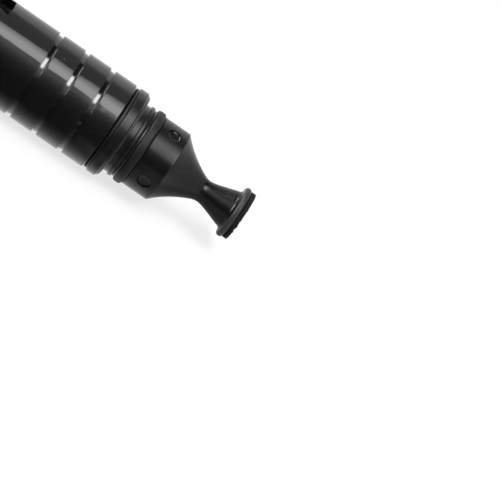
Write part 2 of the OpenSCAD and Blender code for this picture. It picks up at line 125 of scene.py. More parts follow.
class Tree:
    """Short names for building one shader tree."""

    def __init__(self, tree):
        self.tree = tree
        self.tree.nodes.clear()

    def add(self, kind, values=None, **settings):
        node = self.tree.nodes.new(kind)
        for key, value in settings.items():
            setattr(node, key, value)
        for key, value in (values or {}).items():
            self.put(node.inputs[key], value)
        return node

    def put(self, socket, value):
        if isinstance(value, bpy.types.NodeSocket):
            self.tree.links.new(value, socket)
        else:
            socket.default_value = value

    def math(self, operation, a, b=0.0, c=0.0, clamp=False):
        node = self.add("ShaderNodeMath", operation=operation, use_clamp=clamp)
        for socket, value in zip(node.inputs, (a, b, c)):
            self.put(socket, value)
        return node.outputs[0]

    def spread(self, value, low, high, to_low=0.0, to_high=1.0):
        node = self.add("ShaderNodeMapRange", clamp=True)
        for socket, number in zip(node.inputs, (value, low, high, to_low, to_high)):
            self.put(socket, number)
        return node.outputs[0]

    def blend_colours(self, factor, a, b):
        node = self.add("ShaderNodeMix", data_type="RGBA")
        self.put(node.inputs["Factor"], factor)
        self.put(node.inputs[6], a)
        self.put(node.inputs[7], b)
        return node.outputs[2]

    def place(self, stretch=(1, 1, 1), turn=(0, 0, 0)):
        where = self.add("ShaderNodeTexCoord").outputs["Object"]
        node = self.add("ShaderNodeMapping", {"Vector": where, "Scale": stretch, "Rotation": turn})
        return node.outputs[0]

    def noise(self, size_mm, detail, rough, stretch=(1, 1, 1), turn=(0, 0, 0)):
        node = self.add("ShaderNodeTexNoise", {
            "Vector": self.place(stretch, turn), "Scale": 1 / (size_mm * MM),
            "Detail": detail, "Roughness": rough,
        })
        return node.outputs["Fac"]

    def specks(self, spacing_mm, size, share):
        """1 inside small dots, one in each Voronoi cell that is picked; share is how many are."""
        cells = self.add("ShaderNodeTexVoronoi", {"Vector": self.place(), "Scale": 1 / (spacing_mm * MM)})
        near = self.spread(cells.outputs["Distance"], size, size * SPECK_CORE)
        pick = self.add("ShaderNodeSeparateColor", {"Color": cells.outputs["Color"]}).outputs[0]
        return self.math("MULTIPLY", near, self.math("LESS_THAN", pick, share))

    def hairlines(self, size_mm, turn):
        """1 on thin straight lines: noise stretched forty times along one direction."""
        return self.spread(self.noise(size_mm, *HAIRLINE_NOISE, turn), *HAIRLINE_RANGE)

    def rounded(self, radius_mm):
        """The normal that the surface would have with its edges rounded."""
        return self.add("ShaderNodeBevel", {"Radius": radius_mm * MM}, samples=BEVEL_SAMPLES).outputs[0]

    def bump(self, height, depth_mm, normal=None):
        node = self.add("ShaderNodeBump", {"Height": height, "Distance": depth_mm * MM, "Strength": 1.0})
        if normal is not None:
            self.put(node.inputs["Normal"], normal)
        return node.outputs[0]


def grey(value, warm=0.0):
    return (value * (1 + warm), value, value * (1 - warm), 1)


def new_material(name):
    """A material and the helper for its empty shader tree."""
    material = bpy.data.materials.new(name)
    material.use_nodes = True
    return material, Tree(material.node_tree)


# ---------------------------------------------------------------- materials
# A noise is its size in mm, its detail and roughness, and its stretch if it has one. A range is where a
# pattern goes from 0 to 1.
PLASTIC_TINT = -0.02
PLASTIC_IOR = 1.5
CLOUD_NOISE = (1.6, 4.0, 0.6)
CLOUD_SHARE = 0.6
TONE_RANGE = (0.3, 0.7)
DULL_NOISE = (0.8, 4.0, 0.65)
DULL_RANGE = (0.32, 0.68)
# The detail and roughness of the ripples and the grain, whose size each plastic gives
WAVE_DETAIL = (1.5, 0.4)
GRAIN_DETAIL = (2.0, 0.6)
SMALLEST_GRAIN = 0.02
TURNING_NOISE = (0.09, 2.0, 0.6, (1, 0.01, 0.01))
EDGE_RANGE = (0.998, 0.90)
WORN_NOISE = (0.5, 4.0, 0.65)
WORN_RANGE = (0.40, 0.62)
WORN_MIX = 0.75
WORN_DULL = 0.18
# The size of each layer's hairlines and how its pattern is turned
SCRATCH_LAYERS = ((0.11, (0.4, 0.3, 1.2)), (0.13, (1.1, 0.2, 0.4)))
SCRATCH_FIELD_NOISE = (2.5, 3.0, 0.55)
SCRATCH_FIELD_RANGE = (0.45, 0.62)
SCRATCH_DEPTH = 0.0006
SCRATCH_DULL = 0.22
# Each layer's spacing in mm, the dots' size in it, and how much more of them it has
DUST_LAYERS = ((0.9, 0.045, 1.0), (2.7, 0.03, 1.6))
DUST_TONE = grey(0.16, 0.04)
DUST_DULL = 0.5


def worn_edges(t, rounded):
    """1 along edges, in patches: where the rounded normal leaves the face's own."""
    flat = t.add("ShaderNodeNewGeometry").outputs["Normal"]
    dot = t.add("ShaderNodeVectorMath", {0: rounded, 1: flat}, operation="DOT_PRODUCT").outputs["Value"]
    return t.math("MULTIPLY", t.spread(dot, *EDGE_RANGE), t.spread(t.noise(*WORN_NOISE), *WORN_RANGE))


def scratches(t):
    """1 on hairlines that run in two directions, where a slow noise lets them show."""
    lines = t.math("MAXIMUM", *(t.hairlines(size, turn) for size, turn in SCRATCH_LAYERS))
    return t.math("MULTIPLY", lines, t.spread(t.noise(*SCRATCH_FIELD_NOISE), *SCRATCH_FIELD_RANGE))


def dust_dots(t, share):
    """1 inside fine dots and a few coarser ones; share is how many of them there are."""
    return t.math("MAXIMUM", *(t.specks(spacing, size, share * more) for spacing, size, more in DUST_LAYERS))


def plastic(name, tone, rough, wave=(3.0, 0.0), grain=(0.05, 0.0), worn=None, scratch=0.0,
            dust=0.0, turned=0.0, specular=0.5, edge=0.06, mottle=0.12):
    """A moulded plastic. tone is its grey, rough its (smooth, dull) roughness, wave and grain the (size,
    depth) in mm of its slow ripples and fine grain, worn the grey of rubbed edges, scratch and dust how
    much of each it has, turned the depth of the fine rings left by turning, edge the radius in mm that
    its edges look rounded to, and mottle how far its grey varies."""
    material, t = new_material(name)
    rounded = t.rounded(edge)
    cloud = t.math("MULTIPLY", t.noise(*CLOUD_NOISE), CLOUD_SHARE)
    fine = t.noise(max(grain[0], SMALLEST_GRAIN), *GRAIN_DETAIL)
    shade = t.spread(t.math("ADD", cloud, t.math("MULTIPLY", fine, 1 - CLOUD_SHARE)), *TONE_RANGE)
    dark, light = (grey(tone * (1 + change), PLASTIC_TINT) for change in (-mottle, mottle))
    colour = t.blend_colours(shade, dark, light)
    dull = t.spread(t.noise(*DULL_NOISE), *DULL_RANGE, *rough)

    normal = rounded
    if wave[1]:
        normal = t.bump(t.noise(wave[0], *WAVE_DETAIL), wave[1], normal)
    if turned:
        normal = t.bump(t.noise(*TURNING_NOISE), turned, normal)
    if grain[1]:
        normal = t.bump(fine, grain[1], normal)
    if scratch:
        lines = scratches(t)
        normal = t.bump(lines, SCRATCH_DEPTH * scratch, normal)
        dull = t.math("MULTIPLY_ADD", lines, SCRATCH_DULL * scratch, dull)
    if dust:
        dots = dust_dots(t, dust)
        colour = t.blend_colours(dots, colour, DUST_TONE)
        dull = t.math("MULTIPLY_ADD", dots, DUST_DULL, dull)
    if worn is not None:
        on_edge = worn_edges(t, rounded)
        colour = t.blend_colours(t.math("MULTIPLY", on_edge, WORN_MIX), colour, grey(worn))
        dull = t.math("MULTIPLY_ADD", on_edge, WORN_DULL, dull)
    shader = t.add("ShaderNodeBsdfPrincipled", {
        "Base Color": colour, "Roughness": dull, "Normal": normal, "Specular IOR Level": specular,
        "IOR": PLASTIC_IOR,
    })
    t.add("ShaderNodeOutputMaterial", {"Surface": shader.outputs[0]})
    return material


METAL_MARK_NOISE = (0.06, 3.0, 0.6, (0.04, 1, 1))
METAL_MARK_DEPTH = 0.002
METAL_STAIN_NOISE = (1.4, 4.0, 0.6)
METAL_STAIN_TONE = 0.82
METAL_STAIN_WARMTH = 0.01
METAL_EDGE = 0.05


def metal(name, tone, rough):
    """A drawn or rolled metal with fine marks along the pen."""
    material, t = new_material(name)
    marks = t.noise(*METAL_MARK_NOISE)
    stained = grey(tone * METAL_STAIN_TONE, METAL_STAIN_WARMTH)
    shader = t.add("ShaderNodeBsdfPrincipled", {
        "Base Color": t.blend_colours(t.noise(*METAL_STAIN_NOISE), stained, grey(tone)),
        "Roughness": t.spread(marks, *TONE_RANGE, *rough), "Metallic": 1.0,
        "Normal": t.bump(marks, METAL_MARK_DEPTH, t.rounded(METAL_EDGE)),
    })
    t.add("ShaderNodeOutputMaterial", {"Surface": shader.outputs[0]})
    return material


STRAND_NOISE = (0.12, 2.0, 0.6, (0.1, 1, 1))
STRAND_RANGE = (0.3, 0.75)
STRAND_ROUGH = 0.08
CLUMP_NOISE = (1.1, 3.0, 0.6)
CLUMP_LEAST = 0.5
FUZZ_NOISE = (0.05, 2.0, 0.6)
FUZZ_DEPTH = 0.004
SHEEN_ROUGH = 0.5


def fibre(name, root, tip, rough, sheen, specular):
    """Hair and nap: each strand takes its own shade between root and tip."""
    material, t = new_material(name)
    shade = t.noise(*STRAND_NOISE)
    clump = t.math("ADD", t.noise(*CLUMP_NOISE), CLUMP_LEAST)
    colour = t.blend_colours(t.spread(t.math("MULTIPLY", shade, clump), *STRAND_RANGE), root, tip)
    shader = t.add("ShaderNodeBsdfPrincipled", {
        "Base Color": colour, "Normal": t.bump(t.noise(*FUZZ_NOISE), FUZZ_DEPTH),
        "Roughness": t.spread(shade, *TONE_RANGE, rough - STRAND_ROUGH, rough + STRAND_ROUGH),
        "Specular IOR Level": specular, "Sheen Weight": sheen, "Sheen Roughness": SHEEN_ROUGH,
    })
    t.add("ShaderNodeOutputMaterial", {"Surface": shader.outputs[0]})
    return material


PLASTICS = {
    "barrel_gloss": dict(
        tone=0.0038, rough=(0.06, 0.10), wave=(4.2, 0.05), grain=(0.06, 0.00006), worn=0.05, scratch=0.6,
        dust=0.05, edge=0.05, mottle=0.1, specular=0.66),
    "mouth_plastic": dict(
        tone=0.008, rough=(0.24, 0.34), grain=(0.05, 0.0006), worn=0.07, scratch=0.5, turned=0.0004),
    "guide_plastic": dict(tone=0.02, rough=(0.3, 0.4), grain=(0.06, 0.0006), scratch=0.6),
    "spacer_plastic": dict(tone=0.006, rough=(0.42, 0.5), grain=(0.05, 0.0006), worn=0.05, specular=0.35),
    "collar_plastic": dict(
        tone=0.006, rough=(0.17, 0.26), wave=(1.2, 0.008), grain=(0.12, 0.002), worn=0.05, scratch=1.6,
        dust=0.2, turned=0.003, mottle=0.3, specular=0.33),
    # painted shade: the matte black of the ring in the barrel's joint, which stands in for the gap's shadow
    "seal_rubber": dict(tone=0.0015, rough=(0.6, 0.7), grain=(0.1, 0.003), specular=0.08),
    "grip_rubber": dict(
        tone=0.006, rough=(0.42, 0.55), grain=(0.17, 0.011), worn=0.05, dust=0.1, mottle=0.4,
        specular=0.24),
    "nose_moulding": dict(
        tone=0.0035, rough=(0.19, 0.26), wave=(2.2, 0.03), grain=(0.15, 0.0014), worn=0.02, scratch=0.6,
        dust=0.08, edge=0.02, mottle=0.2, specular=0.25),
    "core_plastic": dict(tone=0.002, rough=(0.08, 0.13), grain=(0.05, 0.0003), worn=0.03, specular=0.3),
    "button_plastic": dict(
        tone=0.0025, rough=(0.2, 0.3), grain=(0.05, 0.0008), worn=0.06, scratch=0.8, dust=0.08,
        specular=0.35),
    "carriage_plastic": dict(tone=0.012, rough=(0.3, 0.4), grain=(0.06, 0.0008), scratch=0.5),
    "holder_plastic": dict(
        tone=0.014, rough=(0.42, 0.5), wave=(0.9, 0.01), grain=(0.14, 0.003), worn=0.05, dust=0.12,
        specular=0.38),
    "root_resin": dict(tone=0.22, rough=(0.2, 0.3), wave=(0.7, 0.01), mottle=0.3),
    "pad_foam": dict(tone=0.05, rough=(0.8, 0.95), grain=(0.12, 0.02), specular=0.2),
}
FIBRES = {
    "pad_chamois": dict(root=grey(0.002), tip=grey(0.008), rough=0.86, sheen=0.02, specular=0.25),
    "bristle_hair": dict(root=grey(0.012, 0.1), tip=grey(0.06, 0.12), rough=0.42, sheen=0.1, specular=0.5),
}
METALS = {
    "spring_steel": dict(tone=0.56, rough=(0.16, 0.3)),
    "ferrule_metal": dict(tone=0.62, rough=(0.2, 0.36)),
}


def make_materials():
    return {
        name: kind(name, **look)
        for kind, looks in ((plastic, PLASTICS), (fibre, FIBRES), (metal, METALS))
        for name, look in looks.items()
    }


# ---------------------------------------------------------------- meshes
ON_AXIS = 0.0001 * MM
CORNER_CUTS = (0.25, 0.75)


def smooth_all(mesh):
    mesh.polygons.foreach_set("use_smooth", [True] * len(mesh.polygons))


def piece(name, bm, material):
    """A new smooth object from a bmesh, which is freed."""
    mesh = bpy.data.meshes.new(name)
    bm.to_mesh(mesh)
    bm.free()
    mesh.materials.append(material)
    smooth_all(mesh)
    obj = bpy.data.objects.new(name, mesh)
    bpy.context.scene.collection.objects.link(obj)
    return obj


def on_axis(x, radius, angle):
    """The point at station x, angle from +Z towards -Y, at a radius from the pen's axis."""
    return Vector((x, -radius * math.sin(angle), AXIS_Z + radius * math.cos(angle)))


def divide(outline, step):
    """The outline with its long stretches cut into steps."""
    points = [outline[0]]
    for (x0, r0), (x1, r1) in zip(outline, outline[1:]):
        count = max(1, math.ceil(math.hypot(x1 - x0, r1 - r0) / step))
        points += [(x0 + (x1 - x0) * i / count, r0 + (r1 - r0) * i / count) for i in range(1, count + 1)]
    return points


def lathe(outline, sides=ROUND_SIDES):
    """Turns an outline of (x, radius) points about the pen's axis; a point on the axis closes the end."""
    bm = bmesh.new()
    rows = []
    for x, radius in outline:
        if radius < ON_AXIS:
            rows.append([bm.verts.new(on_axis(x, 0, 0))])
        else:
            rows.append([bm.verts.new(on_axis(x, radius, math.tau * k / sides)) for k in range(sides)])
    for a, b in zip(rows, rows[1:]):
        for k in range(sides):
            n = (k + 1) % sides
            corners = [a[k % len(a)], a[n % len(a)], b[n % len(b)], b[k % len(b)]]
            bm.faces.new(list(dict.fromkeys(corners)))
    bmesh.ops.recalc_face_normals(bm, faces=bm.faces)
    return bm


def bezier(p, q, r, count):
    """Points of the quadratic curve from p to r, pulled towards q, without p itself."""
    return [
        tuple((1 - t) ** 2 * a + 2 * t * (1 - t) * b + t * t * c for a, b, c in zip(p, q, r))
        for t in (i / count for i in range(1, count + 1))
    ]


def soften(points, passes):
    """Cuts the corners of an open run of points, keeping its two ends."""
    for _ in range(passes):
        cut = [points[0]]
        for (x0, r0), (x1, r1) in zip(points, points[1:]):
            cut += [(x0 * (1 - s) + x1 * s, r0 * (1 - s) + r1 * s) for s in CORNER_CUTS]
        points = cut + [points[-1]]
    return points


# ---------------------------------------------------------------- nose skin
NOSE_R = radius_of("nose_cone")
NOSE_LEN = 4.55 * MM
NOSE_WALL = 0.9 * MM
CONE_LEN = 6.15 * MM
CONE_FALL = (1.07, 0.42)
CONE_STEPS = 14
# How many of the cone's last points the softened waist takes the place of
CONE_TAIL = 3
WAIST_R = 1.88 * MM
WAIST_PASSES = 3
FLARE_R = 3.09 * MM
FLARE_FILLET = 0.75 * MM
FLARE_FILLET_DEGREES = range(15, 91, 15)
HOLLOW_SETBACK = 0.32 * MM
HOLLOW_DEPTH = 2.6 * MM
HOLLOW_END_R = 1.2 * MM
HOLDER_SINK = 0.03 * MM
WINDOW_R = 1.1 * MM
WINDOW_POS = 2.5 * MM
WINDOW_TURN = 18
WINDOW_BEVEL = 0.12 * MM
WINDOW_BEVEL_SPREAD = 0.5
WINDOW_REACH = 1.3 * MM
WINDOW_SIDES = 72
NOSE_CHAMFER = 0.12 * MM
NOSE_EDGE = 0.035 * MM
# The rounded edge between cylinder and cone, as (along the axis, inwards) shares of NOSE_EDGE
NOSE_EDGE_POINTS = ((-1, 0), (-0.4, 0.1), (0.3, 0.45))
SKIN_STEP = 0.22 * MM
SKIN_SHARP = math.radians(32)


def nose_outline():
    """The flexible moulding's outline: cylinder, cone, waist and flare, then back along its inside."""
    rear, shoulder = NOSE_LO.x, NOSE_LO.x + NOSE_LEN
    waist = shoulder + CONE_LEN
    run = (NOSE_R - WAIST_R - CONE_FALL[1] * CONE_LEN) / (CONE_FALL[0] - CONE_FALL[1])
    knee = (shoulder + run, NOSE_R - CONE_FALL[0] * run)
    cone = bezier((shoulder, NOSE_R), knee, (waist, WAIST_R), CONE_STEPS)
    flare_start = BEND_X + (BEND_X - waist)
    flare_end = HOLDER_LO.x - FLARE_FILLET
    straight = [cone[-CONE_TAIL], (waist, WAIST_R), (flare_start, WAIST_R), (flare_end, FLARE_R)]
    fillet = [
        (flare_end + FLARE_FILLET * math.sin(a), FLARE_R + FLARE_FILLET * (1 - math.cos(a)))
        for a in map(math.radians, FLARE_FILLET_DEGREES)
    ]
    rim = [(rear, NOSE_R - NOSE_CHAMFER), (rear + NOSE_CHAMFER, NOSE_R)]
    edge = [(shoulder + NOSE_EDGE * along, NOSE_R - NOSE_EDGE * inwards)
            for along, inwards in NOSE_EDGE_POINTS]
    outer = rim + edge + cone[:-CONE_TAIL] + soften(straight, WAIST_PASSES) + fillet
    seat = HOLDER_LO.x + HOLDER_SINK
    inner_r = NOSE_R - NOSE_WALL
    inside = [
        (rear, inner_r), (shoulder - HOLLOW_SETBACK, inner_r), (shoulder + HOLLOW_DEPTH, HOLLOW_END_R),
        (shoulder + HOLLOW_DEPTH, 0),
    ]
    return [(seat, 0), (seat, outer[-1][1])] + outer[::-1] + inside


def window_places(height):
    """The frames of the four snap windows, each at a height above the pen's axis."""
    middle = Matrix.Translation((NOSE_LO.x + WINDOW_POS, 0, AXIS_Z))
    turns = (Matrix.Rotation(math.radians(WINDOW_TURN + 90 * k), 4, "X") for k in range(4))
    return [middle @ turn @ Matrix.Translation((0, 0, height)) for turn in turns]


def cut_windows(obj):
    """Four round holes with bevelled rims."""
    wide = WINDOW_R + (WINDOW_REACH + WINDOW_BEVEL) * WINDOW_BEVEL_SPREAD
    outline = [
        (-WINDOW_REACH, 0), (-WINDOW_REACH, WINDOW_R), (-WINDOW_BEVEL, WINDOW_R), (WINDOW_REACH, wide),
        (WINDOW_REACH, 0),
    ]
    cutter = bmesh.new()
    for place in window_places(NOSE_R):
        turned = lathe(outline, WINDOW_SIDES)
        turned.transform(place @ Matrix.Rotation(-math.pi / 2, 4, "Y") @ Matrix.Translation((0, 0, -AXIS_Z)))
        mesh = bpy.data.meshes.new("window")
        turned.to_mesh(mesh)
        turned.free()
        cutter.from_mesh(mesh)
        bpy.data.meshes.remove(mesh)
    mesh = bpy.data.meshes.new("cutter")
    cutter.to_mesh(mesh)
    cutter.free()
    tool = bpy.data.objects.new("cutter", mesh)
    bpy.context.scene.collection.objects.link(tool)
    modifier = obj.modifiers.new("windows", "BOOLEAN")
    modifier.operation, modifier.object, modifier.solver = "DIFFERENCE", tool, "EXACT"
    apply_modifiers(obj)
    bpy.data.objects.remove(tool)
    bpy.data.meshes.remove(mesh)


def apply_modifiers(obj):
    graph = bpy.context.evaluated_depsgraph_get()
    shaped = bpy.data.meshes.new_from_object(obj.evaluated_get(graph))
    obj.modifiers.clear()
    obj.data = shaped


def make_nose_skin(materials):
    """One skin for the nose and the stem, which takes the place of both CAD nodes."""
    skin = piece("nose_skin", lathe(divide(nose_outline(), SKIN_STEP)), materials["nose_moulding"])
    cut_windows(skin)
    smooth_all(skin.data)
    skin.data.set_sharp_from_angle(angle=SKIN_SHARP)
    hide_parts("nose_cone", "tip_stem")
    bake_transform(skin)


# ---------------------------------------------------------------- painted shadow: a dark ring between the barrel and the spacer ring
SHADOW_RING_DROP = 0.62 * MM
SHADOW_RING_SLACK = 0.01 * MM
SHADOW_RING_STEPS = 16
WELD = 0.001 * MM


def make_joint_shadow_ring(materials):
    """A thin matte black ring sunk in the joint: painted shade, which makes the dark line of the shadowed gap in
    front of the barrel.
    """
    half = (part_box("spacer_ring")[0].x - FRONT_X) / 2 - SHADOW_RING_SLACK
    middle_x, middle_r = FRONT_X + half + SHADOW_RING_SLACK, radius_of("barrel") - SHADOW_RING_DROP
    turns = [math.tau * i / SHADOW_RING_STEPS for i in range(SHADOW_RING_STEPS + 1)]
    bm = lathe([(middle_x - half * math.cos(a), middle_r + half * math.sin(a)) for a in turns])
    bmesh.ops.remove_doubles(bm, verts=bm.verts, dist=WELD)
    shadow_ring = piece("joint_shadow_ring", bm, materials["seal_rubber"])
    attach(shadow_ring, "handle")


# ---------------------------------------------------------------- dished faces of the snap lugs
LUG_FACE_R = NOSE_R - 0.4 * MM
LUG_R = 1.0 * MM
LUG_FLAT = 0.6
LUG_RIM = 0.13 * MM
LUG_LIFT = 0.01 * MM
LUG_BULGE = 0.01 * MM
LUG_LIP = 0.03 * MM
LUG_SKIRT = 0.1 * MM
LUG_STEPS = 8
LUG_SIDES = 48
LUG_SHARP = math.radians(50)


def lug_profile():
    """(radius, height) points from the flat middle over the raised rim and down into the lug."""
    flat_r = LUG_R * LUG_FLAT
    dish = [
        (flat_r + (LUG_R - flat_r) * i / LUG_STEPS, LUG_LIFT + LUG_RIM * (i / LUG_STEPS) ** 2)
        for i in range(LUG_STEPS + 1)
    ]
    return dish + [(LUG_R + LUG_BULGE, dish[-1][1] - LUG_LIP), (LUG_R, -LUG_SKIRT)]


def make_lug_faces(materials):
    """A face with a raised, rounded rim on each of the four lugs that show in the nose's windows."""
    turns = [math.tau * k / LUG_SIDES for k in range(LUG_SIDES)]
    bm = bmesh.new()
    for place in window_places(LUG_FACE_R):
        rows = [
            [bm.verts.new(place @ Vector((r * math.cos(a), r * math.sin(a), z))) for a in turns]
            for r, z in lug_profile()
        ]
        bm.faces.new(rows[0])
        for low, high in zip(rows, rows[1:]):
            for k in range(LUG_SIDES):
                n = (k + 1) % LUG_SIDES
                bm.faces.new((low[k], high[k], high[n], low[n]))
        bm.faces.new(rows[-1][::-1])
    bmesh.ops.recalc_face_normals(bm, faces=bm.faces)
    faces = piece("lug_faces", bm, materials["core_plastic"])
    faces.data.set_sharp_from_angle(angle=LUG_SHARP)
    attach(faces, "handle")


# ---------------------------------------------------------------- cleaning pad
PAD_R = radius_of("cleaning_pad")
PAD_DISH = 0.25 * MM
PAD_INSET = 0.22 * MM
# The pad's rounded corners, as (distance from its back or face, distance inside its rim) in mm
PAD_BACK_CORNER = ((0, 0.1), (0.06, 0.02), (0.16, 0))
PAD_FACE_CORNER = ((0.2, 0), (0.08, 0.04), (0.02, 0.14), (0, 0.3))
PAD_FACE_R = PAD_R - PAD_FACE_CORNER[-1][1] * MM
PAD_STEP = 0.1 * MM
PAD_DISH_STEPS = 12
PAD_SIDES = 220
# The (size, depth) in mm of the pad's dents and of its finer roughness
PAD_CRUMPLES = ((0.4, 0.13), (0.13, 0.035))
FIBRE_SIDES = 3
# The nap on the pad's round side and on its face: how deep fibres start, where (along the side between two
# stations, on the face between two shares of its area), how far they splay out, and their (least, most)
# length in mm
NAP_COUNT = 2600
NAP_RIM_SHARE = 0.62
NAP_RIM_SINK = 0.06 * MM
NAP_RIM_SPAN = (PAD_LO.x + 0.1 * MM, PAD_HI.x - 0.2 * MM)
NAP_RIM_SPLAY = (0.8, 0.5, 0.5)
NAP_RIM_LENGTH = (0.06, 0.2)
NAP_FACE_SINK = 0.03 * MM
NAP_FACE_SPAN = (0.3, 0.97)
NAP_FACE_SPLAY = (0.8, 0.8)
NAP_FACE_LENGTH = (0.04, 0.10)
# Their (least, most) width in mm, where along them they bend and how far, and their width there
NAP_WIDTH = (0.012, 0.022)
NAP_KNEE = 0.6
NAP_BEND = 0.3
NAP_TAPER = 0.7


def dish_depth(share):
    """How deep the pad's face is dished at a share of the radius to its corner."""
    return PAD_DISH * (1 - min(1, share) ** 2)


def pad_outline():
    back, face = PAD_LO.x, PAD_HI.x - PAD_INSET
    rim = [(back + x * MM, PAD_R - r * MM) for x, r in PAD_BACK_CORNER]
    rim += [(face - x * MM, PAD_R - r * MM) for x, r in PAD_FACE_CORNER]
    shares = [i / PAD_DISH_STEPS for i in range(PAD_DISH_STEPS - 1, -1, -1)]
    return [(back, 0)] + rim + [(face - dish_depth(share), PAD_FACE_R * share) for share in shares]


def crumple(bm, size, depth):
    """Moves each vertex along its normal by smooth noise, which leaves the mesh closed."""
    bm.normal_update()
    moves = [(v, v.normal * (noise.noise(v.co / size) * depth)) for v in bm.verts]
    for v, move in moves:
        v.co += move


def strand(bm, points, widths):
    """A tapered fibre along the points, ending in a tip."""
    turns = [math.tau * k / FIBRE_SIDES for k in range(FIBRE_SIDES)]
    rows = []
    for i, (point, width) in enumerate(zip(points[:-1], widths)):
        along = (points[i + 1] - point).normalized()
        side = along.orthogonal().normalized()
        up = along.cross(side)
        rows.append([bm.verts.new(point + (side * math.cos(a) + up * math.sin(a)) * width) for a in turns])
    tip = bm.verts.new(points[-1])
    for a, b in zip(rows, rows[1:]):
        for k in range(FIBRE_SIDES):
            n = (k + 1) % FIBRE_SIDES
            bm.faces.new((a[k], a[n], b[n], b[k]))
    for k in range(FIBRE_SIDES):
        bm.faces.new((rows[-1][k], rows[-1][(k + 1) % FIBRE_SIDES], tip))
    bm.faces.new(rows[0][::-1])


def jitter(draw, *limits):
    """A vector with each part drawn between minus and plus its limit."""
    return Vector([draw.uniform(-limit, limit) for limit in limits])


def rim_fibre(draw, angle):
    """Start, direction and length of a fibre on the pad's round side."""
    start = on_axis(draw.uniform(*NAP_RIM_SPAN), PAD_R - NAP_RIM_SINK, angle)
    outward = on_axis(0, 1, angle) - Vector((0, 0, AXIS_Z))
    return start, outward + jitter(draw, *NAP_RIM_SPLAY), draw.uniform(*NAP_RIM_LENGTH) * MM


def face_fibre(draw, angle):
    """Start, direction and length of a fibre on the pad's dished face."""
    radius = PAD_R * math.sqrt(draw.uniform(*NAP_FACE_SPAN))
    start = on_axis(PAD_HI.x - dish_depth(radius / PAD_FACE_R), radius, angle)
    start.x -= PAD_INSET + NAP_FACE_SINK
    return start, Vector((1, *jitter(draw, *NAP_FACE_SPLAY))), draw.uniform(*NAP_FACE_LENGTH) * MM


def make_nap(material):
    """Loose fibres that stand out of the pad's side and face."""
    draw = random.Random(SEED)
    bm = bmesh.new()
    for _ in range(NAP_COUNT):
        angle = draw.uniform(0, math.tau)
        on_rim = draw.random() < NAP_RIM_SHARE
        start, aim, reach = rim_fibre(draw, angle) if on_rim else face_fibre(draw, angle)
        aim.normalize()
        bend = jitter(draw, 1, 1, 1) * reach * NAP_BEND
        width = draw.uniform(*NAP_WIDTH) * MM
        points = [start, start + aim * reach * NAP_KNEE, start + aim * reach + bend]
        strand(bm, points, [width, width * NAP_TAPER])
    nap = piece("chamois_nap", bm, material)
    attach(nap, "tip")


def make_pad(materials):
    bm = lathe(divide(pad_outline(), PAD_STEP), PAD_SIDES)
    for size, depth in PAD_CRUMPLES:
        crumple(bm, size * MM, depth * MM)
    pad = piece("chamois_pad", bm, materials["pad_chamois"])
    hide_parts("cleaning_pad")
    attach(pad, "tip")
    make_nap(materials["pad_chamois"])


# ---------------------------------------------------------------- brush
HAIR_COUNT = 2200
HAIR_ROOT_R = 4.1 * MM
HAIR_ROOT_DEPTH = 3.0 * MM
# How the bundle closes towards its tip, swells on the way there and ends in a dome
HAIR_TIP_SHARE = 0.60
HAIR_CLOSING_POWER = 2.2
HAIR_SWELL = 0.05
HAIR_SWELL_PACE = 1.5
HAIR_DOME = 0.10
HAIR_DOME_POWER = 3
# The most that a hair leans outwards or inwards, as a share of its radius, and drifts round, in radians
HAIR_LEAN = 0.05
HAIR_DRIFT = 0.06
# How much shorter than the rest a hair may be, and how wide (least, most) its root is, in mm
HAIR_UNEVEN = 1.6
HAIR_WIDTH = (0.045, 0.065)
HAIR_TAPER = 0.75
HAIR_STATIONS = (0, 0.18, 0.36, 0.55, 0.74, 0.9, 1.0)


def hair_points(draw, root_x, length):
    """The way of one hair from the ferrule to its tip, with the outer hairs shorter."""
    share = math.sqrt(draw.random())
    angle = draw.uniform(0, math.tau)
    reach = length * (1 - HAIR_DOME * share ** HAIR_DOME_POWER) - draw.uniform(0, HAIR_UNEVEN) * MM * share
    lean, drift = draw.uniform(-HAIR_LEAN, HAIR_LEAN), draw.uniform(-HAIR_DRIFT, HAIR_DRIFT)
    points = []
    for step in HAIR_STATIONS:
        swell = 1 + HAIR_SWELL * math.sin(math.pi * min(1, step * HAIR_SWELL_PACE))
        close = 1 - (1 - HAIR_TIP_SHARE) * step ** HAIR_CLOSING_POWER
        radius = HAIR_ROOT_R * share * swell * close * (1 + lean * step)
        points.append(on_axis(root_x - reach * step, radius, angle + drift * step))
    return points


def make_hairs(materials):
    draw = random.Random(SEED + 1)
    root_x = HAIR_HI.x - HAIR_ROOT_DEPTH
    parts = len(HAIR_STATIONS) - 1
    bm = bmesh.new()
    for _ in range(HAIR_COUNT):
        points = hair_points(draw, root_x, root_x - HAIR_LO.x)
        width = draw.uniform(*HAIR_WIDTH) * MM
        strand(bm, points, [width * (1 - HAIR_TAPER * i / parts) for i in range(parts)])
    hairs = piece("brush_hairs", bm, materials["bristle_hair"])
    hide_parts("bristle_bundle")
    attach(hairs, "brush_slide")


# ---------------------------------------------------------------- CAD nodes
def dress_nodes(materials):
    """Gives each CAD node the material of its slot in the record."""
    slots = {part["node"]: part["material_slot"] for part in frame["record"]["subparts"]}
    for name, obj in frame["nodes"].items():
        obj.material_slots[0].material = materials[slots[name]]


# ---------------------------------------------------------------- studio
# Angles are in degrees; a sheet's azimuth 0 is in front of the pen, at -Y
SHEET_STEPS = 12
AMBIENT = 0.62
SKY_FADE = (0.70, 0.86)
SKY_TOP = 0.42
FLOOR_HALF = 3
FLOOR_CELLS = 4
FLOOR_LIFT = 0.72
FLOOR_TONE = 0.95

